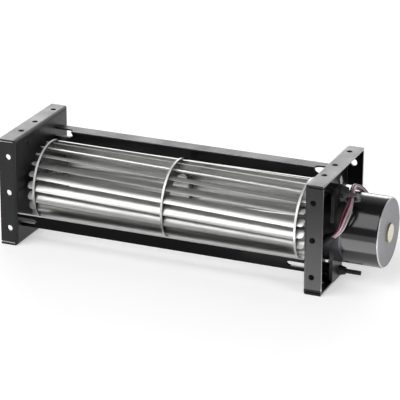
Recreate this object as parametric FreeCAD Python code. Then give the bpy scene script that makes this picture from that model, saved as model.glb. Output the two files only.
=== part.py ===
import FreeCAD, Part
import math
import os
from FreeCAD import Vector

# Cross flow fan. X runs along the fan's axis with the motor at +X, -Y is the open front, Z is up.
# The base of the two end brackets is at Z = 0. Each piece is drawn with X = 0 half way between the
# webs, and then moved along X so that the middle of the whole fan's length is at X = 0.

# End brackets: one folded sheet each, a web with flanges turned away from the impeller
bracket_height = 80.0
bracket_depth = 85.0
web_span = 218.0
tray_depth = 13.0
bracket_sheet = 1.5
bend_radius = 2.2
corner_slit = 0.8
bottom_flange_end_y = -1.0
notch_flange_height = 10.0
notch_relief_width = 2.5
notch_relief_height = 3.5
back_flange_end_z = 51.3
web_boss_radius = 19.0
flange_hole_radius = 2.1
flange_hole_offset = 6.0
front_hole_first_z = 13.0
front_hole_pitch = 27.0
front_hole_count = 3
top_hole_ys = (-21.0, 1.0, 31.0)
back_hole_radius = 2.5
back_hole_drop = 11.5
vent_hole_radius = 1.5
vent_hole_y = -23.0
vent_hole_drop = 7.6

# Axis of the impeller and the motor
axis_z = 36.8

# Guide rails: folded sheet between the webs
rail_sheet = 1.2
rail_slope = math.radians(58.3)
rear_rail_drop = 10.3
rear_rail_clearance = 1.45
rear_flange_depth = 12.0
rear_leg_length = 18.6
front_rail_setback = 0.9
front_top_z = 24.6
front_leg_length = 13.9
front_lip_depth = 5.0
rear_opening_length = 15.0
rear_opening_flange = 5.4
rear_opening_leg = 6.9
front_opening_length = 13.6
front_opening_start = 3.85
front_opening_width = 5.6
rear_opening_corner = 3.0
tongue_gap = 0.1
tongue_bend = 3.0
flange_tongue_inset = 1.0
leg_tongue_inset = 2.5
front_tongue_edge_inset = 0.6
front_tongue_slot_inset = 0.3
seat_gap = 0.02

# Impeller
disc_rim = 0.9
disc_sheet = 1.6
disc_left_clearance = 7.3
disc_right_clearance = 11.5
disc_middle_land = 4.2
blade_count = 21
blade_sheet = 0.6
blade_outer_radius = 29.4
blade_depth = 6.2
blade_sweep = math.radians(14.0)
blade_camber = 1.3
blade_tab_share = 0.7
blade_tab_length = 5.0
blade_tab_rounding = 2.4
blade_shoulder_rounding = 1.2
blade_first_angle = math.radians(8.1)
blade_skew = math.radians(11.3)
slot_gap = 0.05

# Left end: stub shaft in a rubber bedded sleeve bearing
shaft_radius = 2.5
hub_radius = 6.0
hub_flange_radius = 12.0
hub_flange_sheet = 2.0
hub_left_outer = 2.2
hub_left_inner = 9.0
hub_rivet_count = 3
hub_rivet_radius = 1.25
hub_rivet_circle = 9.4
rivet_head_radius = 2.2
rivet_head_height = 0.9
web_bore_radius = 9.0
bush_lip_radius = 11.0
bush_lip = 1.4
bearing_left_radius = 5.0
bearing_left_length = 6.4
running_gap = 0.03
washer_radius = 4.6
washer_sheet = 0.5
axial_play = 0.3
shaft_left_overhang = 3.4
clip_radius = 4.4
clip_sheet = 0.7
clip_groove_depth = 0.6
clip_groove_gap = 0.05
clip_mouth_share = 0.65

# Right end: rubber coupling on the motor shaft
sleeve_radius = 4.0
sleeve_overhang = 4.2
coupling_radius = 8.0
hub_right_radius = 9.5
hub_right_length = 9.0
hub_right_rivet_circle = 13.4
hub_right_flange_radius = 16.0
set_screw_radius = 1.25
set_screw_from_end = 2.0
set_screw_proud = 0.6

# Motor
motor_reach = 16.5
bell_length = 15.0
motor_radius = 25.1
motor_groove = 2.5
can_length = 26.1
bell_wall = 1.6
can_wall = 1.2
core_length = 17.0
core_yoke = 4.0
core_bore_radius = 12.6
pole_count = 4
pole_width = 8.0
coil_wall = 2.6
coil_gap = 0.15
coil_pole_inset = 1.4
coil_yoke_inset = 1.2
rotor_radius = 12.0
rotor_length = 20.0
nose_radius = 7.2
nose_length = 2.6
motor_bearing_radius = 4.2
motor_bearing_length = 5.0
can_edge_radius = 1.6
can_disc_radius = 6.6
can_disc_height = 1.4

# Rubber mounts that carry the motor on the right web
mount_y = -7.0
mount_rise_top = 28.8
mount_rise_bottom = 30.4
mount_hole_radius = 2.2
buffer_radius = 4.0
lug_sheet = 2.4
lug_setback = 6.0
lug_width = 12.0
buffer_barb_radius = 3.7
buffer_barb_length = 4.2
buffer_barb_tip_share = 0.7
buffer_tail_radius = 1.6
buffer_tail_length = 11.0
buffer_head_radius = 4.0
buffer_head_height = 1.6

# Motor lead
lead_diameter = 4.0
grommet_radius = 3.4
grommet_tip_radius = 2.6
grommet_length = 8.0
grommet_setback = 7.8
grommet_drop = 2.5
grommet_turn = math.radians(26.0)
grommet_lift = math.radians(38.5)
lead_first_run = 5.0
lead_bend_share = 0.45
coil_setback = 24.0
coil_y = 76.0
coil_turns = 2
coil_inner_turn_radius = 20.0
plug_length = 12.0
plug_width = 9.0
plug_height = 5.4
tie_width = 2.8
tie_sheet = 1.0
tie_head = 3.2
tie_span = 8.4
tie_turn = math.radians(21.0)
tie_distance = 33.6
tie_gap = 0.15

# The lead's route after its first run, by eye: forward of the bell's seam, across and up
lead_route = [(4.4, -29.6, 47.4),
              (6.0, -28.7, 53.5),
              (7.4, -24.5, 60.2),
              (7.3, -18.0, 65.8),
              (6.0, -10.0, 68.4),
              (5.5, -1.4, 67.6),
              (6.8, 6.4, 63.9),
              (7.1, 14.4, 60.7),
              (7.6, 21.0, 55.1),
              (8.5, 25.7, 47.9),
              (9.5, 29.1, 40.0),
              (10.1, 31.8, 31.9),
              (10.0, 35.2, 24.0),
              (9.3, 39.8, 16.8),
              (7.6, 45.7, 10.9),
              (5.2, 52.7, 6.5),
              (2.4, 60.2, 3.7),
              (-0.8, 68.0, 2.1)]

# Worked out from the sizes above
web_x = web_span / 2
web_outer_x = web_x + bracket_sheet
tray_x = web_x + tray_depth
front_y = -bracket_depth / 2
back_y = bracket_depth / 2
hole_x = web_x + flange_hole_offset
back_hole_z = bracket_height - back_hole_drop
vent_hole_z = bracket_height - vent_hole_drop
impeller_radius = blade_outer_radius + disc_rim
blade_inner_radius = blade_outer_radius - blade_depth
disc_middle_bore_radius = blade_inner_radius - disc_middle_land
disc_left_x = -web_x + disc_left_clearance
disc_right_x = web_x - disc_right_clearance
disc_middle_x = (disc_left_x + disc_right_x) / 2
rear_fold_z = bracket_height - rear_rail_drop
rear_fold_y = ((impeller_radius + rear_rail_clearance - (rear_fold_z - axis_z) * math.cos(rail_slope))
               / math.sin(rail_slope))
front_top_y = front_y + front_rail_setback
groove_x = web_outer_x + motor_reach
bell_x = groove_x - bell_length
lug_x = groove_x - lug_setback
grommet_x = groove_x - grommet_setback
coil_x = groove_x - coil_setback
core_radius = motor_radius - bell_wall
can_x = groove_x + motor_groove
can_end_x = can_x + can_length
origin_x = (can_end_x + can_disc_height - tray_x) / 2
mount_top_z = axis_z + mount_rise_top
mount_bottom_z = axis_z - mount_rise_bottom
core_x = (groove_x + can_x - core_length) / 2
rotor_x = core_x + (core_length - rotor_length) / 2


def box(x0, x1, y0, y1, z0, z1):
    return Part.makeBox(x1 - x0, y1 - y0, z1 - z0, Vector(x0, y0, z0))


def rod(x0, x1, radius, y=0.0, z=axis_z):
    return Part.makeCylinder(radius, x1 - x0, Vector(x0, y, z), Vector(1, 0, 0))


def ring(x0, x1, outer, inner, y=0.0, z=axis_z):
    return rod(x0, x1, outer, y, z).cut(rod(x0 - 1, x1 + 1, inner, y, z))


def mirrored(shape):
    return shape.mirror(Vector(0, 0, 0), Vector(1, 0, 0))


def polar(radius, angle):
    return radius * math.cos(angle), axis_z + radius * math.sin(angle)


def save(name, shape):
    shape.translate(Vector(-origin_x, 0, 0))
    shape.exportStep("parts/" + name + ".step")


def edges_where(shape, test):
    return [edge for edge in shape.Edges if test(edge)]


def lies_along(edge, direction):
    if not isinstance(edge.Curve, Part.Line):
        return False
    return abs(edge.tangentAt(edge.FirstParameter).dot(direction)) > 0.999


def tray_block(inset, near_x, radius):
    # A block with its four edges on the web side rounded as the sheet is bent
    block = box(near_x, tray_x + inset, front_y + inset, back_y - inset, inset, bracket_height - inset)
    near = edges_where(block, lambda edge: abs(edge.CenterOfMass.x - near_x) < 0.001)
    return block.makeFillet(radius, near)


def lower_back_cutout():
    # The outlet corner, open apart from a round boss about the axis
    corner = box(web_x - 1, tray_x + 1, bottom_flange_end_y, back_y + 1, -1, back_flange_end_z)
    return corner.cut(rod(web_x - 2, web_outer_x, web_boss_radius))


def flange_holes():
    cutters = []
    through = bracket_sheet + bend_radius + 2
    for index in range(front_hole_count):
        front = Vector(hole_x, front_y - 1, front_hole_first_z + index * front_hole_pitch)
        cutters.append(Part.makeCylinder(flange_hole_radius, through, front, Vector(0, 1, 0)))
    for y in top_hole_ys:
        top = Vector(hole_x, y, bracket_height + 1)
        cutters.append(Part.makeCylinder(flange_hole_radius, through, top, Vector(0, 0, -1)))
    low = Vector(hole_x, top_hole_ys[0], -1)
    cutters.append(Part.makeCylinder(flange_hole_radius, through, low, Vector(0, 0, 1)))
    back = Vector(hole_x, back_y + 1, back_hole_z)
    cutters.append(Part.makeCylinder(back_hole_radius, through, back, Vector(0, -1, 0)))
    return cutters


def corner_slits():
    # The bent flanges don't meet: a narrow gap runs up each corner to the web's bend
    slits = []
    start = web_x + bend_radius
    top = bracket_height - bracket_sheet
    slits.append(box(start, tray_x + 1, front_y - 1, front_y + bracket_sheet, top - corner_slit, top))
    slits.append(box(start, tray_x + 1, back_y - bracket_sheet, back_y + 1, top - corner_slit, top))
    slits.append(box(start, tray_x + 1, front_y - 1, front_y + bracket_sheet,
                     bracket_sheet, bracket_sheet + corner_slit))
    return slits


def notch_flange():
    # Low flange turned up from the web's edge beside the outlet, with a relief next to the web
    low_z = bracket_sheet + corner_slit
    front = bottom_flange_end_y - bracket_sheet
    flange = box(web_x, tray_x, front, bottom_flange_end_y, low_z, notch_flange_height)
    return flange.cut(box(web_outer_x, web_outer_x + notch_relief_width, front - 1, bottom_flange_end_y + 1,
                          notch_flange_height - notch_relief_height, notch_flange_height + 1))


def bracket():
    tray = tray_block(0.0, web_x, bend_radius)
    tray = tray.cut(tray_block(bracket_sheet, web_outer_x, bend_radius - bracket_sheet))
    tray = tray.cut(lower_back_cutout()).fuse(notch_flange()).removeSplitter()
    for cutter in flange_holes() + corner_slits() + rear_tongues(tongue_gap) + front_tongues(tongue_gap):
        tray = tray.cut(cutter)
    tray = tray.cut(rod(web_x - 1, web_outer_x + 1, web_bore_radius))
    return tray.cut(rod(web_x - 1, web_outer_x + 1, vent_hole_radius, vent_hole_y, vent_hole_z))


def right_bracket():
    tray = bracket()
    for z in (mount_top_z, mount_bottom_z):
        tray = tray.cut(rod(web_x - 1, web_outer_x + 1, mount_hole_radius, mount_y, z))
    return tray


def leg_direction():
    return math.cos(rail_slope), -math.sin(rail_slope)


def leg_prism(start_y, start_z, first, last, depth, x0, x1):
    # A bar along X whose section is a stretch of a rail's slanted leg, measured from its top,
    # that reaches from the leg's front face by depth into or behind the sheet
    along_y, along_z = leg_direction()
    back_y_step, back_z_step = -along_z, along_y
    corners = []
    for along, behind in ((first, 0), (last, 0), (last, depth), (first, depth)):
        y = start_y + along * along_y + behind * back_y_step
        z = start_z + along * along_z + behind * back_z_step
        corners.append(Vector(x0, y, z))
    corners.append(corners[0])
    return Part.Face(Part.makePolygon(corners)).extrude(Vector(x1 - x0, 0, 0))


def rear_tongues(gap):
    # Where each tongue of the rear rail passes through the right web
    flange_y = rear_fold_y + rear_opening_flange
    far_y = rear_fold_y + rear_flange_depth
    top = box(web_x - 1, web_outer_x + 1, flange_y + flange_tongue_inset - gap,
              far_y - flange_tongue_inset + gap, rear_fold_z - rail_sheet - gap, rear_fold_z + gap)
    leg = leg_prism(rear_fold_y, rear_fold_z, rear_opening_leg + leg_tongue_inset - gap,
                    rear_leg_length - leg_tongue_inset + gap, rail_sheet, web_x - 1, web_outer_x + 1)
    if gap:
        leg = leg.fuse(slab_gap(leg, gap))
    return [top, leg]


def front_tongues(gap):
    # Where each tongue of the front rail passes through the right web
    slot_end = front_opening_start + front_opening_width
    upper = leg_prism(front_top_y, front_top_z, front_tongue_edge_inset - gap,
                      front_opening_start - front_tongue_slot_inset + gap,
                      rail_sheet, web_x - 1, web_outer_x + 1)
    lower = leg_prism(front_top_y, front_top_z, slot_end + front_tongue_slot_inset - gap,
                      front_leg_length - front_tongue_edge_inset + gap,
                      rail_sheet, web_x - 1, web_outer_x + 1)
    if gap:
        upper = upper.fuse(slab_gap(upper, gap))
        lower = lower.fuse(slab_gap(lower, gap))
    return [upper, lower]


def slab_gap(prism, gap):
    # Copies of a slanted tongue moved to both sides, for the clearance of its slot
    along_y, along_z = leg_direction()
    shift = Vector(0, -along_z * gap, along_y * gap)
    forward = prism.copy()
    forward.translate(shift)
    backward = prism.copy()
    backward.translate(shift * -1)
    return forward.fuse(backward)


def bent_tongue(tongue, direction):
    # The end of a tongue laid over on the web's outer face, away along a direction
    inner = web_outer_x + seat_gap
    through = tongue.common(box(web_x - 0.5, inner + rail_sheet, front_y, back_y, 0, bracket_height))
    lying = tongue.common(box(inner, inner + rail_sheet, front_y, back_y, 0, bracket_height))
    swept = lying.copy()
    steps = [through, lying]
    for face in swept.Faces:
        normal = face.normalAt(0, 0)
        if normal.dot(direction) > 0.7:
            steps.append(face.extrude(direction * tongue_bend))
    joined = steps[0]
    for piece in steps[1:]:
        joined = joined.fuse(piece)
    return joined.removeSplitter()


def rail_rear():
    along_y, along_z = leg_direction()
    length = 2 * web_x
    flange = box(-web_x, web_x, rear_fold_y, rear_fold_y + rear_flange_depth,
                 rear_fold_z - rail_sheet, rear_fold_z)
    leg = leg_prism(rear_fold_y, rear_fold_z, 0, rear_leg_length, rail_sheet, -web_x, web_x)
    rail = flange.fuse(leg).removeSplitter()
    fold = edges_where(rail, lambda edge: lies_along(edge, Vector(1, 0, 0)) and edge.Length > length - 1
                       and abs(edge.CenterOfMass.y - rear_fold_y) < 0.01
                       and abs(edge.CenterOfMass.z - rear_fold_z) < 0.01)
    rail = rail.makeFillet(rail_sheet, fold)
    for side in (-1, 1):
        rail = rail.cut(rear_opening(side))
    for tongue, direction in zip(rear_tongues(0), (Vector(0, 0, 1), Vector(0, -along_z, along_y))):
        bent = bent_tongue(tongue, direction)
        rail = rail.fuse(bent).fuse(mirrored(bent))
    return rail.removeSplitter()


def rear_opening(side):
    # A rounded cut over the fold, next to a web, so that the leg and flange can spring
    inner_x = web_x - rear_opening_length
    flange_cut = box(inner_x, web_x + 1, rear_fold_y - 3, rear_fold_y + rear_opening_flange,
                     rear_fold_z - 3 * rail_sheet, rear_fold_z + 1)
    edge = edges_where(flange_cut, lambda e: lies_along(e, Vector(0, 0, 1))
                       and abs(e.CenterOfMass.x - inner_x) < 0.01
                       and abs(e.CenterOfMass.y - rear_fold_y - rear_opening_flange) < 0.01)
    flange_cut = flange_cut.makeFillet(rear_opening_corner, edge)
    leg_cut = leg_prism(rear_fold_y, rear_fold_z, -2, rear_opening_leg, 2 * rail_sheet, inner_x, web_x + 1)
    shift = leg_prism(rear_fold_y, rear_fold_z, -2, rear_opening_leg, -rail_sheet, inner_x, web_x + 1)
    leg_cut = leg_cut.fuse(shift).removeSplitter()
    low_z = rear_fold_z - rear_opening_leg * math.sin(rail_slope)
    edge = edges_where(leg_cut, lambda e: abs(e.CenterOfMass.x - inner_x) < 0.01
                       and e.Length > 2 * rail_sheet and abs(e.CenterOfMass.z - low_z) < 2 * rail_sheet)
    leg_cut = leg_cut.makeFillet(rear_opening_corner, edge)
    cut = flange_cut.fuse(leg_cut)
    return cut if side > 0 else mirrored(cut)


def rail_front():
    along_y, along_z = leg_direction()
    leg = leg_prism(front_top_y, front_top_z, 0, front_leg_length, rail_sheet, -web_x, web_x)
    fold_y = front_top_y + front_leg_length * along_y
    fold_z = front_top_z + front_leg_length * along_z
    lip_top = fold_z + rail_sheet
    lip = box(-web_x, web_x, fold_y, fold_y + front_lip_depth, fold_z, lip_top)
    rail = leg.fuse(lip).removeSplitter()
    for side in (-1, 1):
        rail = rail.cut(front_opening(side))
    outward = Vector(0, -along_z, along_y)
    for tongue in front_tongues(0):
        bent = bent_tongue(tongue, outward)
        rail = rail.fuse(bent).fuse(mirrored(bent))
    return rail.removeSplitter()


def front_opening(side):
    # A slot with a round inner end in the slanted leg, next to a web
    along_y, along_z = leg_direction()
    radius = front_opening_width / 2
    middle = front_opening_start + radius
    inner_x = web_x - front_opening_length + radius
    end = front_opening_start + front_opening_width
    slot = leg_prism(front_top_y, front_top_z, front_opening_start, end, 2 * rail_sheet, inner_x, web_x + 1)
    extra = leg_prism(front_top_y, front_top_z, front_opening_start, end, -rail_sheet, inner_x, web_x + 1)
    normal = Vector(0, -along_z, along_y)
    centre = Vector(inner_x, front_top_y + middle * along_y, front_top_z + middle * along_z)
    round_end = Part.makeCylinder(radius, 3 * rail_sheet, centre - normal * rail_sheet, normal)
    slot = slot.fuse(extra).fuse(round_end)
    return slot if side > 0 else mirrored(slot)


def blade_face(x, angle, share, gap):
    # Section of one curved blade in the plane X = x; share is the part of its width, from the middle
    inner = polar(blade_inner_radius, angle)
    outer = polar(blade_outer_radius, angle + blade_sweep)
    chord = Vector(0, outer[0] - inner[0], outer[1] - inner[1])
    half = chord.Length / 2
    radius = (half * half + blade_camber * blade_camber) / (2 * blade_camber)
    lead = Vector(0, -chord.z, chord.y).normalize()
    middle = Vector(x, (inner[0] + outer[0]) / 2, (inner[1] + outer[1]) / 2)
    centre = middle + lead * (radius - blade_camber)
    reach = math.asin(half / radius) * share + gap / radius
    toward = (middle - centre).normalize()
    across = (chord * (1 / chord.Length))

    def at(turn, distance):
        return centre + toward * (distance * math.cos(turn)) + across * (distance * math.sin(turn))

    low = radius - blade_sheet / 2 - gap
    high = radius + blade_sheet / 2 + gap
    edges = [Part.Arc(at(-reach, high), at(0, high), at(reach, high)).toShape(),
             Part.LineSegment(at(reach, high), at(reach, low)).toShape(),
             Part.Arc(at(reach, low), at(0, low), at(-reach, low)).toShape(),
             Part.LineSegment(at(-reach, low), at(-reach, high)).toShape()]
    return Part.Face(Part.Wire(edges))


def blade_bar(x0, x1, angle, share, gap):
    return blade_face(x0, angle, share, gap).extrude(Vector(x1 - x0, 0, 0))


def blade_strip(angle, gap):
    # The strip between the end discs, whose right end is turned on by the skew, with its outer
    # corners rounded off next to the discs
    left_x = disc_left_x + disc_sheet / 2
    right_x = disc_right_x - disc_sheet / 2
    left = blade_face(left_x, angle, 1.0, gap)
    right = blade_face(right_x, angle + blade_skew, 1.0, gap)
    strip = Part.makeLoft([left.OuterWire, right.OuterWire], True, True)
    middle_radius = (blade_inner_radius + blade_outer_radius) / 2
    corners = edges_where(strip, lambda edge: abs(edge.Length - blade_sheet - 2 * gap) < 0.01
                          and math.hypot(edge.CenterOfMass.y, edge.CenterOfMass.z - axis_z) > middle_radius)
    return strip.makeFillet(blade_shoulder_rounding, corners)


def blade_tab(x0, x1, angle):
    # Rounded tongue through an end disc, from the disc's inner face outwards
    tab = blade_bar(x0, x1, angle, blade_tab_share, 0.0)
    corners = edges_where(tab, lambda edge: abs(edge.Length - blade_sheet) < 0.01
                          and abs(edge.CenterOfMass.x - x1) < 0.01)
    return tab.makeFillet(blade_tab_rounding, corners)


def blade(angle):
    reach = disc_sheet + blade_tab_length
    left = disc_left_x + disc_sheet / 2
    right = disc_right_x - disc_sheet / 2
    strip = blade_strip(angle, 0.0)
    strip = strip.fuse(blade_tab(left, left - reach, angle))
    return strip.fuse(blade_tab(right, right + reach, angle + blade_skew))


def blade_angles():
    return [blade_first_angle + 2 * math.pi * index / blade_count for index in range(blade_count)]


def end_disc(x, bore, skew):
    disc = ring(x - disc_sheet / 2, x + disc_sheet / 2, impeller_radius, bore)
    slots = [blade_bar(x - disc_sheet, x + disc_sheet, angle + skew, blade_tab_share, slot_gap)
             for angle in blade_angles()]
    return disc.cut(Part.makeCompound(slots))


def disc_left():
    disc = end_disc(disc_left_x, hub_radius, 0.0)
    return disc.cut(rivet_holes(disc_left_x, hub_rivet_circle))


def disc_right():
    disc = end_disc(disc_right_x, hub_right_radius, blade_skew)
    return disc.cut(rivet_holes(disc_right_x, hub_right_rivet_circle))


def disc_middle():
    disc = ring(disc_middle_x - disc_sheet / 2, disc_middle_x + disc_sheet / 2,
                impeller_radius, disc_middle_bore_radius)
    slots = [blade_strip(angle, slot_gap) for angle in blade_angles()]
    return disc.cut(Part.makeCompound(slots))


def rivet_places(circle):
    return [polar(circle, 2 * math.pi * index / hub_rivet_count) for index in range(hub_rivet_count)]


def rivet_holes(x, circle):
    holes = [rod(x - 2 * hub_flange_sheet, x + 2 * hub_flange_sheet, hub_rivet_radius, y, z)
             for y, z in rivet_places(circle)]
    return Part.makeCompound(holes)


def hub_left():
    # Boss through the disc with a flange riveted to the disc's inner face
    inner_face = disc_left_x + disc_sheet / 2
    outer_end = disc_left_x - disc_sheet / 2 - hub_left_outer
    hub = rod(outer_end, inner_face + hub_left_inner, hub_radius - slot_gap)
    hub = hub.fuse(rod(inner_face, inner_face + hub_flange_sheet, hub_flange_radius))
    hub = hub.cut(rod(outer_end - 1, inner_face + hub_left_inner + 1, shaft_radius))
    return hub.cut(rivet_holes(disc_left_x, hub_rivet_circle))


def rivet(x0, x1, y, z):
    # Shank between two flat faces with a round head on each
    body = rod(x0, x1, hub_rivet_radius - slot_gap, y, z)
    body = body.fuse(rod(x0 - rivet_head_height, x0, rivet_head_radius, y, z))
    return body.fuse(rod(x1, x1 + rivet_head_height, rivet_head_radius, y, z)).removeSplitter()


def hub_rivets_left():
    x0 = disc_left_x - disc_sheet / 2
    x1 = disc_left_x + disc_sheet / 2 + hub_flange_sheet
    return Part.makeCompound([rivet(x0, x1, y, z) for y, z in rivet_places(hub_rivet_circle)])


def hub_rivets_right():
    x0 = disc_right_x - disc_sheet / 2 - hub_flange_sheet
    x1 = disc_right_x + disc_sheet / 2
    return Part.makeCompound([rivet(x0, x1, y, z) for y, z in rivet_places(hub_right_rivet_circle)])


def bearing_left_ends():
    middle = -web_x - bracket_sheet / 2
    return middle - bearing_left_length / 2, middle + bearing_left_length / 2


def shaft_left():
    outer_end = bearing_left_ends()[0] - shaft_left_overhang
    inner_end = disc_left_x + disc_sheet / 2 + hub_left_inner
    shaft = rod(outer_end, inner_end, shaft_radius)
    groove_x0 = clip_left_x() - clip_groove_gap
    groove = ring(groove_x0, groove_x0 + clip_sheet + 2 * clip_groove_gap,
                  shaft_radius + 1, shaft_radius - clip_groove_depth)
    return shaft.cut(groove)


def clip_left_x():
    return bearing_left_ends()[0] - axial_play - washer_sheet - seat_gap - clip_sheet


def clip_left():
    # Open retaining clip in the shaft's groove
    x0 = clip_left_x()
    clip = ring(x0, x0 + clip_sheet, clip_radius, shaft_radius - clip_groove_depth + running_gap)
    half_mouth = clip_mouth_share * shaft_radius
    mouth = box(x0 - 1, x0 + clip_sheet + 1, 0, clip_radius + 1, axis_z - half_mouth, axis_z + half_mouth)
    return clip.cut(mouth)


def washer_left():
    x1 = bearing_left_ends()[0] - axial_play
    return ring(x1 - washer_sheet, x1, washer_radius, shaft_radius + running_gap)


def bearing_left():
    x0, x1 = bearing_left_ends()
    return ring(x0, x1, bearing_left_radius, shaft_radius + running_gap)


def bush_left():
    # Rubber ring snapped into the web's bore, with a lip on both faces
    body = ring(-web_outer_x, -web_x, web_bore_radius, bearing_left_radius)
    outer_lip = ring(-web_outer_x - bush_lip, -web_outer_x, bush_lip_radius, bearing_left_radius)
    inner_lip = ring(-web_x, -web_x + bush_lip, bush_lip_radius, bearing_left_radius)
    return body.fuse(outer_lip).fuse(inner_lip).removeSplitter()


def hub_right_ends():
    face = disc_right_x - disc_sheet / 2
    return face - hub_flange_sheet, face - hub_flange_sheet + hub_right_length


def hub_right():
    x0, x1 = hub_right_ends()
    face = disc_right_x - disc_sheet / 2
    hub = rod(x0, x1, hub_right_radius - slot_gap)
    hub = hub.fuse(rod(x0, face, hub_right_flange_radius))
    hub = hub.cut(rod(x0 - 1, x1 + 1, coupling_radius))
    return hub.cut(rivet_holes(disc_right_x, hub_right_rivet_circle))


def coupling_rubber():
    x0, x1 = hub_right_ends()
    return ring(x0, x1, coupling_radius, sleeve_radius)


def sleeve_ends():
    x0, x1 = hub_right_ends()
    return x0, x1 + sleeve_overhang


def coupling_sleeve():
    x0, x1 = sleeve_ends()
    sleeve = ring(x0, x1, sleeve_radius, shaft_radius)
    return sleeve.cut(set_screw_bar(0, 2 * sleeve_radius))


def set_screw_bar(low, high):
    # A round bar that stands on the axis, between two heights above it
    x = sleeve_ends()[1] - set_screw_from_end
    return Part.makeCylinder(set_screw_radius, high - low, Vector(x, 0, axis_z + low), Vector(0, 0, 1))


def hub_screw():
    return set_screw_bar(shaft_radius, sleeve_radius + set_screw_proud)


def motor_shaft():
    return rod(hub_right_ends()[0], can_end_x - can_wall - axial_play, shaft_radius)


def rotor_magnet():
    return ring(rotor_x, rotor_x + rotor_length, rotor_radius, shaft_radius)


def stator_core():
    core = ring(core_x, core_x + core_length, core_radius, core_radius - core_yoke)
    for index in range(pole_count):
        core = core.fuse(pole(index, pole_width, core_x, core_x + core_length))
    return core.cut(rod(core_x - 1, core_x + core_length + 1, core_bore_radius)).removeSplitter()


def pole(index, width, x0, x1):
    bar = box(x0, x1, -width / 2, width / 2, axis_z, axis_z + core_radius - core_yoke / 2)
    bar.rotate(Vector(0, 0, axis_z), Vector(1, 0, 0), 360.0 * (index + 0.5) / pole_count)
    return bar


def winding(index):
    # One coil round its pole, as a rectangular ring
    near = core_bore_radius + coil_pole_inset
    far = core_radius - core_yoke - coil_yoke_inset
    half = pole_width / 2
    outer = box(core_x - coil_wall, core_x + core_length + coil_wall, -half - coil_wall, half + coil_wall,
                axis_z + near, axis_z + far)
    inner = box(core_x - coil_gap, core_x + core_length + coil_gap, -half - coil_gap, half + coil_gap,
                axis_z, axis_z + core_radius)
    coil = outer.cut(inner)
    coil.rotate(Vector(0, 0, axis_z), Vector(1, 0, 0), 360.0 * (index + 0.5) / pole_count)
    return coil


def bearing_front():
    x0 = bell_x - nose_length
    return ring(x0, x0 + motor_bearing_length, motor_bearing_radius, shaft_radius + running_gap)


def bearing_rear():
    x1 = can_end_x - can_wall
    return ring(x1 - motor_bearing_length, x1, motor_bearing_radius, shaft_radius + running_gap)


def lug(z):
    # Broad ear on the bell that takes one rubber mount in its back corner
    end = lug_x + lug_sheet
    lug_front_y = mount_y - lug_width
    outer = z + math.copysign(buffer_radius, z - axis_z)
    ear = box(lug_x, end, lug_front_y - buffer_radius, mount_y + buffer_radius,
              min(z, axis_z), max(z, axis_z))
    ear = ear.fuse(box(lug_x, end, lug_front_y, mount_y, min(outer, axis_z), max(outer, axis_z)))
    for y in (lug_front_y, mount_y):
        ear = ear.fuse(rod(lug_x, end, buffer_radius, y, z))
    return ear.removeSplitter()


def rim_edges(shape, x):
    return edges_where(shape, lambda edge: isinstance(edge.Curve, Part.Circle)
                       and abs(edge.CenterOfMass.x - x) < 0.01)


def motor_bell():
    bell = rod(bell_x, groove_x, motor_radius)
    bell = bell.makeFillet(can_edge_radius, rim_edges(bell, bell_x))
    for z in (mount_top_z, mount_bottom_z):
        bell = bell.fuse(lug(z))
    bell = bell.cut(rod(bell_x + bell_wall, groove_x + 1, core_radius))
    nose_back = bell_x - nose_length + motor_bearing_length
    bell = bell.fuse(rod(bell_x - nose_length, nose_back, nose_radius))
    bell = bell.cut(rod(bell_x - nose_length - 1, nose_back + 1, motor_bearing_radius))
    for z in (mount_top_z, mount_bottom_z):
        bell = bell.cut(rod(lug_x - 1, lug_x + lug_sheet + 1, mount_hole_radius, mount_y, z))
    return bell.cut(lead_grommet()).removeSplitter()


def motor_can():
    can = rod(can_x, can_end_x, motor_radius)
    can = can.makeFillet(can_edge_radius, rim_edges(can, can_end_x))
    inner_end = can_end_x - can_wall
    can = can.cut(rod(can_x - 1, inner_end, core_radius))
    holder = ring(inner_end - motor_bearing_length, inner_end, nose_radius, motor_bearing_radius)
    return can.fuse(holder).removeSplitter()


def can_disc():
    return rod(can_end_x, can_end_x + can_disc_height, can_disc_radius)


def buffer(z, tail):
    # Pull-through rubber mount: head inside the web, spacer, barb outside the lug, and a pull tail
    lug_end = lug_x + lug_sheet
    neck = rod(web_x, lug_end, mount_hole_radius, mount_y, z)
    head = rod(web_x - buffer_head_height, web_x, buffer_head_radius, mount_y, z)
    spacer = rod(web_outer_x, lug_x, buffer_radius, mount_y, z)
    barb = Part.makeCone(buffer_barb_radius, buffer_barb_tip_share * buffer_barb_radius,
                         buffer_barb_length, Vector(lug_end, mount_y, z), Vector(1, 0, 0))
    body = neck.fuse(head).fuse(spacer).fuse(barb)
    if tail:
        start = lug_end + buffer_barb_length
        body = body.fuse(rod(start, start + tail, buffer_tail_radius, mount_y, z))
    return body.removeSplitter()


def grommet_direction():
    level = math.cos(grommet_lift)
    return Vector(math.cos(grommet_turn) * level, -math.sin(grommet_turn) * level, math.sin(grommet_lift))


def grommet_base():
    low = grommet_radius + grommet_drop
    return Vector(grommet_x, -math.sqrt(motor_radius ** 2 - low ** 2), axis_z - grommet_drop)


def lead_grommet():
    # Slanted snout through the bell's side, flush with the inside
    start = grommet_base() - grommet_direction() * bell_wall
    snout = Part.makeCone(grommet_radius, grommet_tip_radius, grommet_length + bell_wall,
                          start, grommet_direction())
    return snout.cut(rod(bell_x, can_x, core_radius + seat_gap))


def lead_points():
    # The lead's route from its grommet, over the motor and down behind it to the coil
    tip = grommet_base() + grommet_direction() * grommet_length
    first = [tip, tip + grommet_direction() * lead_first_run]
    return first + [Vector(groove_x + x, y, z) for x, y, z in lead_route]


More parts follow.
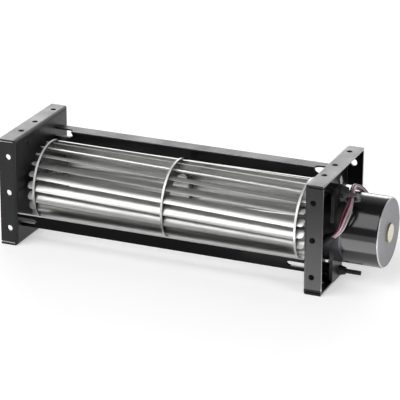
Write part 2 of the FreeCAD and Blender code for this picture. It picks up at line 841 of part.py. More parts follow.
def rounded_route(points):
    # Straight runs joined by tangent arcs, each as large as its two runs allow
    edges = []
    radii = []
    last = points[0]
    for before, corner, after in zip(points, points[1:], points[2:]):
        back = (before - corner)
        ahead = (after - corner)
        run = min(back.Length, ahead.Length)
        back.normalize()
        ahead.normalize()
        cut = lead_bend_share * run
        start = corner + back * cut
        end = corner + ahead * cut
        half_turn = (math.pi - back.getAngle(ahead)) / 2
        radius = cut / math.tan(half_turn)
        radii.append(radius)
        bisector = (back + ahead).normalize()
        middle = corner + bisector * (radius / math.cos(half_turn) - radius)
        edges.append(Part.LineSegment(last, start).toShape())
        edges.append(Part.Arc(start, middle, end).toShape())
        last = end
    edges.append(Part.LineSegment(last, points[-1]).toShape())
    return Part.Wire(edges), radii


def lead():
    points = lead_points()
    path, radii = rounded_route(points)
    circle = Part.Circle(points[0], points[1] - points[0], lead_diameter / 2)
    section = Part.Wire(circle.toShape())
    tube = path.makePipeShell([section], True, False)
    print("lead radii", [round(radius, 1) for radius in radii])
    expected = math.pi * lead_diameter ** 2 / 4 * path.Length
    print("lead length", round(path.Length, 1))
    print("lead volume", round(tube.Volume, 1), "expected", round(expected, 1))
    return tube


def lead_coil():
    # The stored turns of the lead, side by side on the ground, as one ring
    inner = coil_inner_turn_radius - lead_diameter / 2
    outer = inner + coil_turns * lead_diameter
    base = Part.makeCylinder(outer, lead_diameter, Vector(coil_x, coil_y, 0))
    return base.cut(Part.makeCylinder(inner, lead_diameter, Vector(coil_x, coil_y, 0)))


def lead_plug():
    # Small housing at the lead's end, lying on the coil
    y = coil_y + coil_inner_turn_radius + lead_diameter / 2
    z = lead_diameter + seat_gap
    return box(coil_x - plug_length / 2, coil_x + plug_length / 2, y - plug_width / 2, y + plug_width / 2,
               z, z + plug_height)


def place_on(path, distance):
    # The point at a distance along a path, and the direction there
    for edge in path.Edges:
        if distance <= edge.Length:
            parameter = edge.getParameterByLength(distance)
            return edge.valueAt(parameter), edge.tangentAt(parameter)
        distance -= edge.Length


def cable_tie():
    # Flat band round the lead where it bends over the motor, with its square head
    centre, along = place_on(rounded_route(lead_points())[0], tie_distance)
    side = Vector(math.cos(tie_turn), -math.sin(tie_turn), 0)
    side = (side - along * side.dot(along)).normalize()
    rise = side.cross(along)
    half_span = tie_span / 2
    half_rise = lead_diameter / 2 + tie_gap

    def bar(half_wide, half_tall):
        start = centre - along * (tie_width / 2)
        corners = [start + side * (half_wide * a) + rise * (half_tall * b)
                   for a, b in ((-1, -1), (1, -1), (1, 1), (-1, 1), (-1, -1))]
        return Part.Face(Part.makePolygon(corners)).extrude(along * tie_width)

    band = bar(half_span + tie_sheet, half_rise + tie_sheet).cut(bar(half_span, half_rise))
    head = bar(tie_head / 2, tie_head / 2)
    head.translate(side * -(half_span + tie_sheet + tie_head / 2))
    return band.fuse(head).removeSplitter()


def build():
    os.makedirs("parts", exist_ok=True)
    save("bracket_left", mirrored(bracket()))
    save("bracket_right", right_bracket())
    save("rail_rear", rail_rear())
    save("rail_front", rail_front())
    save("disc_left", disc_left())
    save("disc_middle", disc_middle())
    save("disc_right", disc_right())
    for index, angle in enumerate(blade_angles()):
        save("blade_%02d" % (index + 1), blade(angle))
    save("hub_left", hub_left())
    save("hub_rivets_left", hub_rivets_left())
    save("shaft_left", shaft_left())
    save("bearing_left", bearing_left())
    save("bush_left", bush_left())
    save("washer_left", washer_left())
    save("clip_left", clip_left())
    save("hub_right", hub_right())
    save("hub_rivets_right", hub_rivets_right())
    save("coupling_rubber", coupling_rubber())
    save("coupling_sleeve", coupling_sleeve())
    save("hub_screw", hub_screw())
    save("motor_shaft", motor_shaft())
    save("rotor_magnet", rotor_magnet())
    save("stator_core", stator_core())
    for index in range(pole_count):
        save("winding_%d" % (index + 1), winding(index))
    save("bearing_front", bearing_front())
    save("bearing_rear", bearing_rear())
    save("motor_bell", motor_bell())
    save("motor_can", motor_can())
    save("can_disc", can_disc())
    save("buffer_top", buffer(mount_top_z, 0))
    save("buffer_bottom", buffer(mount_bottom_z, buffer_tail_length))
    save("lead_grommet", lead_grommet())
    save("lead", lead())
    save("lead_coil", lead_coil())
    save("lead_plug", lead_plug())
    save("cable_tie", cable_tie())


build()
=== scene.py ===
import bmesh
import bpy
import math
from mathutils import Matrix, Vector


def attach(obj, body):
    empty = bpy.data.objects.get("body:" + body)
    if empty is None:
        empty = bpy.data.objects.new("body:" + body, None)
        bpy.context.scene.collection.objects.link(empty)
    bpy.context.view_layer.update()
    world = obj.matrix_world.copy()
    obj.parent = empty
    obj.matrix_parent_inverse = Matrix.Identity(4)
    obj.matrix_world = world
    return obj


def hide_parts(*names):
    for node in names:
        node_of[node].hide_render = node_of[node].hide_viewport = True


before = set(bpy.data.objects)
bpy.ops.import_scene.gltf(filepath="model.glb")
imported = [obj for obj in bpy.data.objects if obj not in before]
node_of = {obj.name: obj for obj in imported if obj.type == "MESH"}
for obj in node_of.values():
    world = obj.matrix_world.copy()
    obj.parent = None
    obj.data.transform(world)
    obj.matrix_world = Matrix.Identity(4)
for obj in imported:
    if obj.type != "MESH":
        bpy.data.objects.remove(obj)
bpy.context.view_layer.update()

# Camera at the photograph's view: a long lens from the front, a little to the right and above.
# The fan's middle, half way between the two webs, is the point that it circles.
camera_azimuth = math.radians(22.59)
camera_elevation = math.radians(21.01)
camera_roll = math.radians(0.30)
camera_distance = 1.5898
camera_right = 0.01385
camera_up = -0.00269
focal_length_in_pictures = 5.589
web_middle = Vector((-0.0175, 0.0, 0.040))

camera_back = Vector((math.sin(camera_azimuth) * math.cos(camera_elevation),
                      -math.cos(camera_azimuth) * math.cos(camera_elevation),
                      math.sin(camera_elevation)))
camera_side = Vector((math.cos(camera_azimuth), math.sin(camera_azimuth), 0.0))
camera_top = camera_side.cross(-camera_back)
camera_data = bpy.data.cameras.new("camera")
camera_data.sensor_width = 36.0
camera_data.lens = focal_length_in_pictures * camera_data.sensor_width
camera = bpy.data.objects.new("camera", camera_data)
bpy.context.scene.collection.objects.link(camera)
rolled_side = camera_side * math.cos(camera_roll) + camera_top * math.sin(camera_roll)
rolled_top = camera_top * math.cos(camera_roll) - camera_side * math.sin(camera_roll)
camera.matrix_world = Matrix.Translation(
    web_middle + camera_back * camera_distance + camera_side * camera_right + camera_top * camera_up
) @ Matrix((rolled_side, rolled_top, camera_back)).transposed().to_4x4()
bpy.context.scene.camera = camera
bpy.context.scene.view_settings.view_transform = "Standard"

# The motor's lead: four thin wires, insulated in plastic, laid together with a slow twist. They leave
# the grommet in the bell, pass over the motor, drop behind it and lie in a small coil on the floor.
wire_radius = 0.00084
wire_offset = 0.00118
wire_slack_offset = 0.00195
wire_twist_length = 0.20
wire_first_turn = 0.275
wire_sides = 10
wire_colours = {"wire_dark_red": (0.12, 0.008, 0.028), "wire_pale": (0.38, 0.23, 0.27),
                "wire_grey": (0.36, 0.35, 0.36), "wire_black": (0.012, 0.012, 0.014)}
grime_share = 0.72
spread_start, spread_run = 0.005, 0.012
gather_end, gather_run = 0.032, 0.008
coil_centre = Vector((0.0855, 0.076))
coil_radius, coil_inward_step, coil_outward_step = 0.0246, 0.0041, 0.0020
coil_height, coil_height_step = 0.0021, 0.0038
inward_start, inward_turn = 285, 60
climb_start, climb_turn = 620, 70
coil_start = math.radians(-19)
coil_points, coil_points_a_turn = 30, 14
lead_route = [(0.1073, -0.0271, 0.0393), (0.1108, -0.0289, 0.0424), (0.1139, -0.0296, 0.0474),
              (0.1155, -0.0287, 0.0535), (0.1169, -0.0245, 0.0602), (0.1168, -0.0180, 0.0658),
              (0.1142, -0.0100, 0.0684), (0.1125, -0.0014, 0.0676), (0.1120, 0.0064, 0.0642),
              (0.1122, 0.0144, 0.0607), (0.1135, 0.0210, 0.0551), (0.1155, 0.0257, 0.0479),
              (0.1175, 0.0291, 0.0400), (0.1190, 0.0318, 0.0319), (0.1195, 0.0352, 0.0240),
              (0.1188, 0.0398, 0.0168), (0.1171, 0.0457, 0.0109), (0.1147, 0.0527, 0.0065),
              (0.1119, 0.0602, 0.0037), (0.1087, 0.0680, 0.0021)]


def coil_point(turn_angle):
    # One full outer turn, one inner turn, then up on to the other two and round to the plug
    degrees = math.degrees(turn_angle)
    inward = min(max((degrees - inward_start) / inward_turn, 0), 1)
    climb = min(max((degrees - climb_start) / climb_turn, 0), 1)
    radius = coil_radius - coil_inward_step * inward + coil_outward_step * climb
    return (coil_centre.x + radius * math.cos(turn_angle),
            coil_centre.y + radius * math.sin(turn_angle),
            coil_height + coil_height_step * climb)


coil_step = 2 * math.pi / coil_points_a_turn
lead_route += [coil_point(coil_start + coil_step * (count + 1)) for count in range(coil_points)]
lead_route += [(0.0940, 0.0977, 0.0065), (0.0915, 0.0980, 0.0067)]

route_curve = bpy.data.curves.new("lead_route", "CURVE")
route_curve.dimensions = "3D"
route_curve.resolution_u = 6
route_spline = route_curve.splines.new("NURBS")
route_spline.points.add(len(lead_route) - 1)
for route_point, place in zip(route_spline.points, lead_route):
    route_point.co = (*place, 1.0)
route_spline.order_u = 3
route_spline.use_endpoint_u = True
route_object = bpy.data.objects.new("lead_route", route_curve)
bpy.context.scene.collection.objects.link(route_object)
route_mesh = bpy.data.meshes.new_from_object(route_object)
centreline = [vertex.co.copy() for vertex in route_mesh.vertices]
bpy.data.objects.remove(route_object)


def frames_along(line):
    # A side direction at each point of a line, carried along it without turning
    side = Vector((0, 0, 1)).cross(line[1] - line[0]).normalized()
    found = []
    for index, place in enumerate(line):
        ahead = line[min(index + 1, len(line) - 1)] - line[max(index - 1, 0)]
        ahead.normalize()
        side = (side - ahead * side.dot(ahead)).normalized()
        found.append((place, ahead, side, ahead.cross(side)))
    return found


def sweep_tube(mesh, line, radius, sides, material_index=0):
    # A closed round tube along a line, from rings of vertices joined one to the next
    rings = []
    for place, ahead, side, top in frames_along(line):
        turns = [2 * math.pi * count / sides for count in range(sides)]
        ring = [mesh.verts.new(place + side * (radius * math.cos(turn)) + top * (radius * math.sin(turn)))
                for turn in turns]
        rings.append([mesh.edges.new((ring[count], ring[(count + 1) % sides]))
                      for count in range(sides)])
    made = []
    for first, second in zip(rings, rings[1:]):
        made += bmesh.ops.bridge_loops(mesh, edges=first + second)["faces"]
    made += bmesh.ops.edgeloop_fill(mesh, edges=rings[0])["faces"]
    made += bmesh.ops.edgeloop_fill(mesh, edges=rings[-1])["faces"]
    for face in made:
        face.material_index = material_index
        face.smooth = True
    bmesh.ops.recalc_face_normals(mesh, faces=made)


def object_from(mesh, name, body, slot, *materials):
    # A bmesh made an object that rides on a body, with its materials
    data = bpy.data.meshes.new(name)
    mesh.to_mesh(data)
    mesh.free()
    made = bpy.data.objects.new(name, data)
    bpy.context.scene.collection.objects.link(made)
    for material in materials:
        data.materials.append(material)
    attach(made, body)
    return made


def add_node(material, kind, settings=(), **sockets):
    # One shader node with its settings and the values of its sockets
    made = material.node_tree.nodes.new(kind)
    for key, value in dict(settings).items():
        setattr(made, key, value)
    for key, value in sockets.items():
        made.inputs[key.replace("_", " ")].default_value = value
    return made


def join(material, out_socket, in_socket):
    material.node_tree.links.new(out_socket, in_socket)


def new_finish(name, colour, roughness, metallic=0.0, specular=0.5, coat=0.0):
    # A material and its shader, with plain values on the shader's own sockets
    material = bpy.data.materials.new(name)
    material.use_nodes = True
    shader = material.node_tree.nodes["Principled BSDF"]
    shader.inputs["Base Color"].default_value = (*colour, 1)
    shader.inputs["Roughness"].default_value = roughness
    shader.inputs["Metallic"].default_value = metallic
    shader.inputs["Specular IOR Level"].default_value = specular
    shader.inputs["Coat Weight"].default_value = coat
    return material, shader


def object_place(material, stretch=(1, 1, 1)):
    # The place on the object, in metres, stretched for patterns that run one way
    coordinates = add_node(material, "ShaderNodeTexCoord")
    mapping = add_node(material, "ShaderNodeMapping", Scale=stretch)
    join(material, coordinates.outputs["Object"], mapping.inputs["Vector"])
    return mapping.outputs["Vector"]


def noise(material, place, scale, detail=2.0, roughness=0.5):
    texture = add_node(material, "ShaderNodeTexNoise",
                       Scale=scale, Detail=detail, Roughness=roughness)
    join(material, place, texture.inputs["Vector"])
    return texture.outputs["Fac"]


def spread(material, factor, low, high, start=0.3, end=0.7):
    # A factor mapped from a stretch of its range to two values
    ranged = add_node(material, "ShaderNodeMapRange",
                      From_Min=start, From_Max=end, To_Min=low, To_Max=high)
    join(material, factor, ranged.inputs["Value"])
    return ranged.outputs["Result"]


def two_colours(material, factor, first, second):
    # The first colour where the factor is 0, the second where it is 1
    mixed = add_node(material, "ShaderNodeMix", {"data_type": "RGBA"})
    mixed.inputs[6].default_value = (*first, 1)
    mixed.inputs[7].default_value = (*second, 1)
    join(material, factor, mixed.inputs[0])
    return mixed.outputs[2]


def bump(material, shader, height, strength, distance):
    bumped = add_node(material, "ShaderNodeBump", Strength=strength, Distance=distance)
    join(material, height, bumped.inputs["Height"])
    join(material, bumped.outputs["Normal"], shader.inputs["Normal"])


def insulation(name, colour):
    # Soft plastic of one colour, a little grimed in places
    material, shader = new_finish(name, colour, 0.36)
    place = object_place(material)
    darker = tuple(grime_share * part for part in colour)
    grime = spread(material, noise(material, place, 160), 0, 1, 0.35, 0.7)
    join(material, two_colours(material, grime, colour, darker), shader.inputs["Base Color"])
    wear = spread(material, noise(material, place, 700), 0.30, 0.45)
    join(material, wear, shader.inputs["Roughness"])
    return material


def offset_at(distance):
    # The wires spread a little between the grommet and the strap, and lie close elsewhere
    spreading = min(max((distance - spread_start) / spread_run, 0), 1)
    gathering = min(max((gather_end - distance) / gather_run, 0), 1)
    return wire_offset + (wire_slack_offset - wire_offset) * spreading * gathering


travelled = [0.0]
for start, end in zip(centreline, centreline[1:]):
    travelled.append(travelled[-1] + (end - start).length)

wire_mesh = bmesh.new()
for wire_index in range(len(wire_colours)):
    first_turn = wire_first_turn + wire_index / len(wire_colours)
    wire_line = []
    for (place, ahead, side, top), distance in zip(frames_along(centreline), travelled):
        turn = 2 * math.pi * (first_turn + distance / wire_twist_length)
        offset = offset_at(distance)
        wire_line.append(place + side * (offset * math.cos(turn)) + top * (offset * math.sin(turn)))
    sweep_tube(wire_mesh, wire_line, wire_radius, wire_sides, wire_index)
lead_wires = object_from(wire_mesh, "lead_wires", "frame", "lead_wires",
                         *[insulation(name, colour) for name, colour in wire_colours.items()])
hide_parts("lead", "lead_coil")

# The small connector that ends the lead: a bare housing moulded in one piece of pale nylon,
# which has yellowed a little. It lies on the floor at the end of the coil.


def dress(material, *names):
    # Gives carried-over nodes their finish
    for name in names:
        part = node_of[name]
        part.data.materials.clear()
        part.data.materials.append(material)


plug_nylon, shader = new_finish("plug_nylon", (0.80, 0.79, 0.74), 0.42)
place = object_place(plug_nylon)
yellowing = two_colours(plug_nylon, noise(plug_nylon, place, 90),
                        (0.82, 0.81, 0.77), (0.74, 0.72, 0.65))
join(plug_nylon, yellowing, shader.inputs["Base Color"])
bump(plug_nylon, shader, noise(plug_nylon, place, 1500), 0.15, 0.0001)
dress(plug_nylon, "lead_plug")

# The flat strap round the lead over the motor: nylon gone grey, with its small square head.
# It is pulled tight round the wires and holds them together.
strap_nylon, shader = new_finish("strap_nylon", (0.10, 0.10, 0.105), 0.35)
place = object_place(strap_nylon)
greying = two_colours(strap_nylon, noise(strap_nylon, place, 260),
                      (0.035, 0.035, 0.038), (0.11, 0.11, 0.115))
join(strap_nylon, greying, shader.inputs["Base Color"])
dress(strap_nylon, "cable_tie")

# Brackets and rails: folded sheet steel under a satin black powder coat, with the fine orange peel
# that such a coat dries to. The sheet is sheared after coating, so some of its edges are bare.
tray_bare_grey = (0.42, 0.42, 0.43)
rail_bare_grey = (0.70, 0.70, 0.71)
bare_roughness = 0.45
tray_reach = 0.12195
tongue_start = 0.0930
rail_edge_y, rail_edge_z = -0.525, 0.851
straight_on = 0.99
square_on = 0.9


def measure(material, kind, axis):
    # One number of a place on the object, or of the way the surface faces there
    coordinates = add_node(material, "ShaderNodeTexCoord")
    split = add_node(material, "ShaderNodeSeparateXYZ")
    join(material, coordinates.outputs[kind], split.inputs[0])
    return split.outputs["XYZ".index(axis)]


def compute(material, operation, *values):
    # A Math node on numbers and on other nodes' results
    made = add_node(material, "ShaderNodeMath", {"operation": operation})
    for socket, value in zip(made.inputs, values):
        if isinstance(value, float):
            socket.default_value = value
        else:
            join(material, value, socket)
    return made.outputs[0]


def finish_where(material, shader, mask, colour, roughness, metallic):
    # Another finish of the same piece, where the mask is 1. Its colour is three numbers or a
    # node's result, and a value that is the same on both sides needs no mix
    for name, value in (("Base Color", colour), ("Roughness", roughness), ("Metallic", metallic)):
        socket = shader.inputs[name]
        is_colour = name == "Base Color"
        if not is_colour and not socket.links and socket.default_value == value:
            continue
        mixed = add_node(material, "ShaderNodeMix", {"data_type": "RGBA" if is_colour else "FLOAT"})
        under, over, result = (6, 7, 2) if is_colour else (2, 3, 0)
        if socket.links:
            join(material, socket.links[0].from_socket, mixed.inputs[under])
        else:
            mixed.inputs[under].default_value = socket.default_value
        if isinstance(value, bpy.types.NodeSocket):
            join(material, value, mixed.inputs[over])
        else:
            mixed.inputs[over].default_value = (*value, 1) if is_colour else value
        join(material, mask, mixed.inputs[0])
        join(material, mixed.outputs[result], socket)


def coated_sheet(name, specular, painted_shade_scale=1.0):
    # The powder coat; the last number scales its colour down, for a darker copy of the coat on a rail in
    # shade (painted shade)
    material, shader = new_finish(name, (0.006, 0.006, 0.007), 0.36, specular=specular)
    place = object_place(material)
    dark, light = [tuple(painted_shade_scale * part for part in colour)
                   for colour in ((0.005, 0.005, 0.006), (0.009, 0.009, 0.010))]
    clouding = spread(material, noise(material, place, 35), 0, 1)
    join(material, two_colours(material, clouding, dark, light), shader.inputs["Base Color"])
    sheen = spread(material, noise(material, place, 60), 0.32, 0.42)
    join(material, sheen, shader.inputs["Roughness"])
    bump(material, shader, noise(material, place, 1400, 1.0), 0.10, 0.00012)
    return material, shader


coated_bracket, shader = coated_sheet("coated_bracket", 0.40)
past_middle = compute(coated_bracket, "SUBTRACT", measure(coated_bracket, "Object", "X"), web_middle.x)
at_rim = compute(coated_bracket, "GREATER_THAN",
                 compute(coated_bracket, "ABSOLUTE", past_middle), tray_reach)
sideways = compute(coated_bracket, "ABSOLUTE", measure(coated_bracket, "Normal", "X"))
tray_edge = compute(coated_bracket, "MULTIPLY", at_rim,
                    compute(coated_bracket, "GREATER_THAN", sideways, square_on))
finish_where(coated_bracket, shader, tray_edge, tray_bare_grey, bare_roughness, 1.0)
dress(coated_bracket, "bracket_left", "bracket_right")

# The front rail has the same coat as the rear one; its colour at 0.4 is painted shade, a darker copy for
# the rail in shadow
for rail_name, rail_specular, rail_painted_shade_scale in (("rail_rear", 0.24, 1.0), ("rail_front", 0.02, 0.4)):
    coated_rail, shader = coated_sheet("coated_" + rail_name, rail_specular, rail_painted_shade_scale)
    facing = [compute(coated_rail, "MULTIPLY", measure(coated_rail, "Normal", axis), share)
              for axis, share in (("Y", rail_edge_y), ("Z", rail_edge_z))]
    along_edge = compute(coated_rail, "GREATER_THAN", compute(coated_rail, "ADD", *facing), straight_on)
    past_web = compute(coated_rail, "GREATER_THAN", measure(coated_rail, "Object", "X"), tongue_start)
    rail_edge = compute(coated_rail, "MAXIMUM", along_edge, past_web)
    finish_where(coated_rail, shader, rail_edge, rail_bare_grey, bare_roughness, 1.0)
    dress(coated_rail, rail_name)

# The impeller's blades: bright aluminium strip, rolled to a curve, with tabs that pass through the
# end discs. The rolling leaves fine lines along each blade, and the tabs are duller.
blade_count = 21
discs_middle_x = -0.0196
tabs_from_middle = 0.1000
rolled_aluminium, shader = new_finish("rolled_aluminium", (0.60, 0.60, 0.59), 0.40, metallic=1.0)
place = object_place(rolled_aluminium, (6, 120, 120))
lines = noise(rolled_aluminium, place, 6.0, 2.0)
join(rolled_aluminium, spread(rolled_aluminium, lines, 0.36, 0.44), shader.inputs["Roughness"])
streaks = two_colours(rolled_aluminium, spread(rolled_aluminium, lines, 0, 1, 0.2, 0.8),
                      (0.64, 0.64, 0.63), (0.55, 0.55, 0.54))
join(rolled_aluminium, streaks, shader.inputs["Base Color"])
past_middle = compute(rolled_aluminium, "SUBTRACT",
                      measure(rolled_aluminium, "Object", "X"), discs_middle_x)
past_discs = compute(rolled_aluminium, "GREATER_THAN",
                     compute(rolled_aluminium, "ABSOLUTE", past_middle), tabs_from_middle)
finish_where(rolled_aluminium, shader, past_discs, (0.92, 0.92, 0.91), 0.40, 0.45)
dress(rolled_aluminium, *["blade_%02d" % (count + 1) for count in range(blade_count)])

# The impeller's three discs: stamped aluminium sheet, scuffed on its faces, whose dark base colour there
# is painted shade and painted reflection of the black webs.
# Their rims are blanked edges, which are paler and duller.
edge_on = 0.1
stamped_aluminium_painted_shade, shader = new_finish("stamped_aluminium_painted_shade", (0.20, 0.20, 0.21), 0.16, metallic=1.0)
place = object_place(stamped_aluminium_painted_shade)
scuffs = spread(stamped_aluminium_painted_shade, noise(stamped_aluminium_painted_shade, place, 110, 3.0), 0.12, 0.22)
join(stamped_aluminium_painted_shade, scuffs, shader.inputs["Roughness"])
bump(stamped_aluminium_painted_shade, shader, noise(stamped_aluminium_painted_shade, place, 900), 0.05, 0.00008)
sideways = compute(stamped_aluminium_painted_shade, "ABSOLUTE", measure(stamped_aluminium_painted_shade, "Normal", "X"))
rim = compute(stamped_aluminium_painted_shade, "LESS_THAN", sideways, edge_on)
finish_where(stamped_aluminium_painted_shade, shader, rim, (0.90, 0.90, 0.89), 0.50, 0.45)
dress(stamped_aluminium_painted_shade, "disc_left", "disc_middle", "disc_right")

# The hubs with their rivets, the shafts, the washer, the clip, the coupling's sleeve and its
# screw: turned or stamped steel under bright zinc, a little uneven in its sheen.
plated_steel, shader = new_finish("plated_steel", (0.60, 0.60, 0.61), 0.30, metallic=1.0)
place = object_place(plated_steel)
sheen = spread(plated_steel, noise(plated_steel, place, 240, 3.0), 0.22, 0.42)
join(plated_steel, sheen, shader.inputs["Roughness"])
bump(plated_steel, shader, noise(plated_steel, place, 1200), 0.08, 0.00006)
dress(plated_steel, "hub_left", "hub_rivets_left", "shaft_left", "washer_left", "clip_left",
      "hub_right", "hub_rivets_right", "coupling_sleeve", "hub_screw", "motor_shaft")

# The motor's laminations: a stack of thin dark steel sheets, pressed together along the shaft.
# Their edges show in the groove between the bell and the can.
lamination_steel, shader = new_finish("lamination_steel", (0.10, 0.10, 0.11), 0.45, metallic=1.0)
place = object_place(lamination_steel)
stack = add_node(lamination_steel, "ShaderNodeTexWave", {"bands_direction": "X"},
                 Scale=320.0, Distortion=0.3)
join(lamination_steel, place, stack.inputs["Vector"])
sheets = two_colours(lamination_steel, stack.outputs["Fac"], (0.05, 0.05, 0.055), (0.20, 0.20, 0.21))
join(lamination_steel, sheets, shader.inputs["Base Color"])
bump(lamination_steel, shader, stack.outputs["Fac"], 0.3, 0.0001)
dress(lamination_steel, "stator_core")

# The motor's rotor: a ring of dark, dull ferrite that is glued to the shaft. It can't be seen
# from outside the housing.
ferrite, shader = new_finish("ferrite", (0.06, 0.06, 0.065), 0.6)
place = object_place(ferrite)
bump(ferrite, shader, noise(ferrite, place, 800), 0.2, 0.0001)
dress(ferrite, "rotor_magnet")

# The sleeve bearings of the free end and of the motor: sintered bronze, which is brown and
# finely porous and holds its own oil. They are pressed into their seats.
sintered_bronze, shader = new_finish("sintered_bronze", (0.42, 0.28, 0.13), 0.45, metallic=1.0)
place = object_place(sintered_bronze)
bump(sintered_bronze, shader, noise(sintered_bronze, place, 2600), 0.35, 0.0001)
dress(sintered_bronze, "bearing_left", "bearing_front", "bearing_rear")

# The motor's four windings: enamelled copper wire, wound on the poles of the laminations.
# The turns are only in the bump, because the housing hides them.
enamelled_copper, shader = new_finish("enamelled_copper", (0.50, 0.17, 0.06), 0.28, metallic=1.0)
place = object_place(enamelled_copper)
wound = add_node(enamelled_copper, "ShaderNodeTexWave", {"bands_direction": "X"},
                 Scale=520.0, Distortion=0.8)
join(enamelled_copper, place, wound.inputs["Vector"])
bump(enamelled_copper, shader, wound.outputs["Fac"], 0.6, 0.0002)
dress(enamelled_copper, "winding_1", "winding_2", "winding_3", "winding_4")

# The free end's bush, the coupling, the motor's two mounts and the lead's grommet: moulded black
# rubber. The mounts are pulled through the web's holes and the bush sits in the left web.
black_rubber, shader = new_finish("black_rubber", (0.014, 0.014, 0.015), 0.55, specular=0.4)
place = object_place(black_rubber)
bloom = two_colours(black_rubber, noise(black_rubber, place, 120),
                    (0.010, 0.010, 0.011), (0.028, 0.028, 0.030))
join(black_rubber, bloom, shader.inputs["Base Color"])
bump(black_rubber, shader, noise(black_rubber, place, 900), 0.12, 0.0001)
dress(black_rubber, "bush_left", "coupling_rubber", "buffer_top", "buffer_bottom", "lead_grommet")

# The motor's bell, next to the web: cast with its ears in one piece, under satin black enamel.
# It is pressed on the laminations from the left.
satin_enamel, shader = new_finish("satin_enamel", (0.018, 0.018, 0.020), 0.34, specular=0.6)
place = object_place(satin_enamel)
sheen = spread(satin_enamel, noise(satin_enamel, place, 80), 0.28, 0.42)
join(satin_enamel, sheen, shader.inputs["Roughness"])
bump(satin_enamel, shader, noise(satin_enamel, place, 1100), 0.08, 0.0001)
dress(satin_enamel, "motor_bell")

# The motor's can: deep drawn sheet under gloss black enamel, pressed on the laminations from the
# right. Its end is a satin grey with a fine grain, and its turned edge has worn bright.
end_start = 0.130
turned_share = 0.62
flat_share = 0.97
gloss_enamel, shader = new_finish("gloss_enamel", (0.008, 0.008, 0.009), 0.13, coat=0.15)
shader.inputs["Coat Roughness"].default_value = 0.08
place = object_place(gloss_enamel)
sheen = spread(gloss_enamel, noise(gloss_enamel, place, 90), 0.10, 0.18)
join(gloss_enamel, sheen, shader.inputs["Roughness"])
bump(gloss_enamel, shader, noise(gloss_enamel, place, 130, 1.0), 0.03, 0.0004)
outward = measure(gloss_enamel, "Normal", "X")
at_end = compute(gloss_enamel, "GREATER_THAN", measure(gloss_enamel, "Object", "X"), end_start)
turned, flat = [compute(gloss_enamel, "MULTIPLY", at_end,
                        compute(gloss_enamel, "GREATER_THAN", outward, share))
                for share in (turned_share, flat_share)]
finish_where(gloss_enamel, shader, turned, (0.62, 0.62, 0.64), 0.38, 1.0)
grain = two_colours(gloss_enamel, noise(gloss_enamel, place, 900, 3.0, 0.7),
                    (0.13, 0.13, 0.145), (0.37, 0.37, 0.385))
finish_where(gloss_enamel, shader, flat, grain, 0.55, 0.0)
dress(gloss_enamel, "motor_can")

# The small cap on the can's end: a cream disc with tiny dark marks on its face and a brownish
# side. It is pressed into the end.
cap_cream, shader = new_finish("cap_cream", (0.22, 0.18, 0.10), 0.5)
place = object_place(cap_cream)
marks = spread(cap_cream, noise(cap_cream, place, 620, 1.0), 0, 0.6, 0.62, 0.72)
cream = two_colours(cap_cream, marks, (0.87, 0.84, 0.70), (0.38, 0.34, 0.24))
cap_face = compute(cap_cream, "GREATER_THAN", measure(cap_cream, "Normal", "X"), square_on)
finish_where(cap_cream, shader, cap_face, cream, 0.45, 0.0)
dress(cap_cream, "can_disc")

# Pale studio floor, lit softly. What the camera sees of it, straight or in the metal, is white,
# with the fan's shadow on it.
floor_reach = 6.0
floor_white = (0.80, 0.80, 0.80, 1)
floor_glow_strength = 0.42
floor_mesh = bmesh.new()
bmesh.ops.create_grid(floor_mesh, x_segments=1, y_segments=1, size=floor_reach)
floor_data = bpy.data.meshes.new("floor")
floor_mesh.to_mesh(floor_data)
floor_mesh.free()
floor = bpy.data.objects.new("floor", floor_data)
bpy.context.scene.collection.objects.link(floor)
floor_paint = bpy.data.materials.new("floor_paint")
floor_paint.use_nodes = True
floor_paint.node_tree.nodes.clear()
floor_data.materials.append(floor_paint)
floor_output = add_node(floor_paint, "ShaderNodeOutputMaterial")
floor_matt = add_node(floor_paint, "ShaderNodeBsdfDiffuse", Color=floor_white)
floor_glow = add_node(floor_paint, "ShaderNodeEmission")
floor_sum = add_node(floor_paint, "ShaderNodeAddShader")
floor_rays = add_node(floor_paint, "ShaderNodeLightPath").outputs
seen_straight = compute(floor_paint, "MAXIMUM", floor_rays["Is Camera Ray"], floor_rays["Is Glossy Ray"])
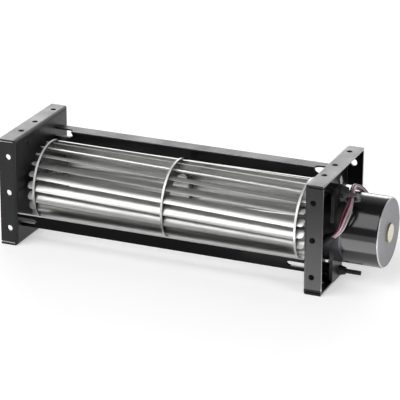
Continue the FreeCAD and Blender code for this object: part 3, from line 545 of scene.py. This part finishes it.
seen_any_way = compute(floor_paint, "MAXIMUM", seen_straight, floor_rays["Is Transmission Ray"])
glow_share = compute(floor_paint, "MULTIPLY", seen_any_way, floor_glow_strength)
join(floor_paint, glow_share, floor_glow.inputs["Strength"])
join(floor_paint, floor_matt.outputs[0], floor_sum.inputs[0])
join(floor_paint, floor_glow.outputs[0], floor_sum.inputs[1])
join(floor_paint, floor_sum.outputs[0], floor_output.inputs["Surface"])

# The studio: a plain pale room that is dimmer on the camera's side, with three soft panels round
# the fan and a small one on the floor, which lights the motor from below.
world = bpy.data.worlds.new("studio")
bpy.context.scene.world = world
world.use_nodes = True
sky = world.node_tree
background = sky.nodes["Background"]
sky_place = sky.nodes.new("ShaderNodeTexCoord")
sky_split = sky.nodes.new("ShaderNodeSeparateXYZ")
sky_range = sky.nodes.new("ShaderNodeMapRange")
for key, value in (("From Min", 0.3), ("From Max", 0.95), ("To Min", 0.09), ("To Max", 0.80)):
    sky_range.inputs[key].default_value = value
sky.links.new(sky_place.outputs["Generated"], sky_split.inputs[0])
sky.links.new(sky_split.outputs["Y"], sky_range.inputs["Value"])
sky.links.new(sky_range.outputs["Result"], background.inputs["Strength"])
background.inputs["Color"].default_value = (1, 1, 1, 1)


def soft_lamp(name, place, aim, width, height, power):
    data = bpy.data.lights.new(name, "AREA")
    data.shape = "RECTANGLE"
    data.size = width
    data.size_y = height
    data.energy = power
    made = bpy.data.objects.new(name, data)
    bpy.context.scene.collection.objects.link(made)
    made.location = place
    made.rotation_mode = "QUATERNION"
    made.rotation_quaternion = (Vector(aim) - Vector(place)).to_track_quat("-Z", "Y")
    return made


soft_lamp("front_panel", (-0.62, -1.03, 1.27), (0, 0, 0.04), 1.7, 1.3, 20)
soft_lamp("back_panel", (-0.55, 1.9, 0.62), (0, 0, 0.04), 2.4, 0.75, 24)
soft_lamp("right_panel", (1.5, -0.5, 0.9), (0, 0, 0.04), 0.8, 0.8, 8)
soft_lamp("table_panel", (0.14, -0.085, 0.004), (0.14, -0.085, 1.0), 0.20, 0.09, 0.17)
